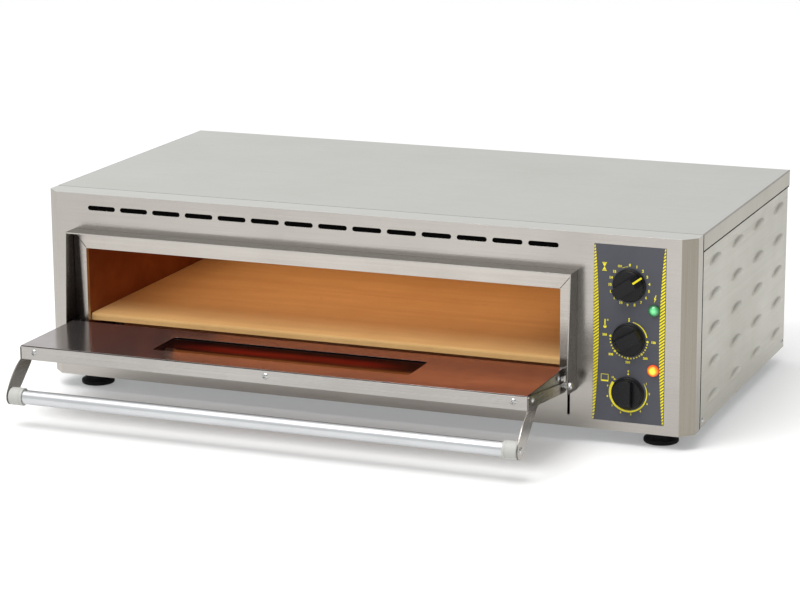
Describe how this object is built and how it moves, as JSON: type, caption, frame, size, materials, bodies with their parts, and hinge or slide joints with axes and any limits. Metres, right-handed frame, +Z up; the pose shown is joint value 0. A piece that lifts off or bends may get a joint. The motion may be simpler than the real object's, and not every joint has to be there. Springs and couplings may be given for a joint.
{
  "type": "countertop pizza oven",
  "caption": "Stainless countertop pizza oven with a drop-down glazed door, a stone floor, quartz elements and a control column with dials.",
  "frame": {"origin": "centre of the overall footprint with the door open, at worktop level", "axes": "+X to the right as seen from the front, +Y from the door to the back, +Z up"},
  "size_m": [0.8984, 0.7028, 0.27],
  "materials": {
    "brushed_stainless": "brushed sheet",
    "polished_stainless": "bright sheet",
    "aluminised_steel": "dull, heat tinted",
    "galvanised_steel": "dull zinc",
    "zinc_plated": "bright zinc plate",
    "spring_steel": "drawn wire",
    "brass": "turned",
    "anodised_aluminium": "satin anodised",
    "grey_plastic": "moulded, finely ribbed",
    "black_plastic": "moulded, fine grain",
    "black_rubber": "matt",
    "printed_label": "slate grey film with yellow marks",
    "green_lens": "moulded lens, lit",
    "amber_lens": "moulded lens, lit",
    "white_ceramic": "unglazed",
    "quartz_and_ceramic": "satin tube with unglazed caps",
    "refractory_stone": "fine refractory grain",
    "mineral_wool": "loose wool",
    "dark_glass": "tinted, toughened"
  },
  "bodies": {
    "cabinet": {"front_fascia": "brushed_stainless", "top_cover": "brushed_stainless", "left_side_panel": "brushed_stainless", "right_side_panel": "brushed_stainless", "rear_panel": "brushed_stainless", "base_plate": "galvanised_steel", "door_surround": "brushed_stainless", "opening_bezel": "brushed_stainless", "chamber_liner": "aluminised_steel", "baking_stone": "refractory_stone", "stone_rail_left": "aluminised_steel", "stone_rail_right": "aluminised_steel", "upper_element_1": "quartz_and_ceramic", "upper_element_2": "quartz_and_ceramic", "upper_element_3": "quartz_and_ceramic", "lower_element_1": "quartz_and_ceramic", "lower_element_2": "quartz_and_ceramic", "lower_element_3": "quartz_and_ceramic", "top_insulation": "mineral_wool", "bottom_insulation": "mineral_wool", "rear_insulation": "mineral_wool", "left_insulation": "mineral_wool", "right_insulation": "mineral_wool", "control_partition": "galvanised_steel", "control_label": "printed_label", "timer_body": "grey_plastic", "thermostat_body": "grey_plastic", "regulator_body": "grey_plastic", "power_lamp": "green_lens", "heating_lamp": "amber_lens", "thermostat_bulb": "brass", "terminal_block": "white_ceramic", "cable_gland": "black_plastic", "foot_front_left": "black_rubber", "foot_front_right": "black_rubber", "foot_rear_left": "black_rubber", "foot_rear_right": "black_rubber", "hinge_pin_left": "zinc_plated", "hinge_pin_right": "zinc_plated", "door_spring_left": "spring_steel", "door_spring_right": "spring_steel"},
    "door": {"door_outer_skin": "brushed_stainless", "door_liner": "polished_stainless", "window_glass": "dark_glass", "window_retainer": "black_plastic", "handle_tube": "anodised_aluminium", "door_arm_left": "brushed_stainless", "door_arm_right": "brushed_stainless", "hinge_lever_left": "zinc_plated", "hinge_lever_right": "zinc_plated", "handle_cap_left": "grey_plastic", "handle_cap_right": "grey_plastic"},
    "timer_dial": {"timer_shaft": "brass", "timer_knob": "black_plastic"},
    "thermostat_dial": {"thermostat_shaft": "brass", "thermostat_knob": "black_plastic"},
    "regulator_dial": {"regulator_shaft": "brass", "regulator_knob": "black_plastic"}
  },
  "joints": [
    {"name": "door_hinge", "type": "hinge", "parent": "cabinet", "child": "door", "pos_m": [-0.053, -0.1746, 0.081], "axis": [-1, 0, 0], "range_deg": [0, 90], "deforming": ["door_spring_left", "door_spring_right"]},
    {"name": "timer_turn", "type": "hinge", "parent": "cabinet", "child": "timer_dial", "pos_m": [0.3655, -0.1446, 0.208], "axis": [0, 1, 0], "range_deg": [-80, 254]},
    {"name": "thermostat_turn", "type": "hinge", "parent": "cabinet", "child": "thermostat_dial", "pos_m": [0.3655, -0.1446, 0.139], "axis": [0, 1, 0], "range_deg": [-240, 37]},
    {"name": "regulator_turn", "type": "hinge", "parent": "cabinet", "child": "regulator_dial", "pos_m": [0.3655, -0.1446, 0.0705], "axis": [0, 1, 0], "range_deg": [-180, 133]}
  ]
}
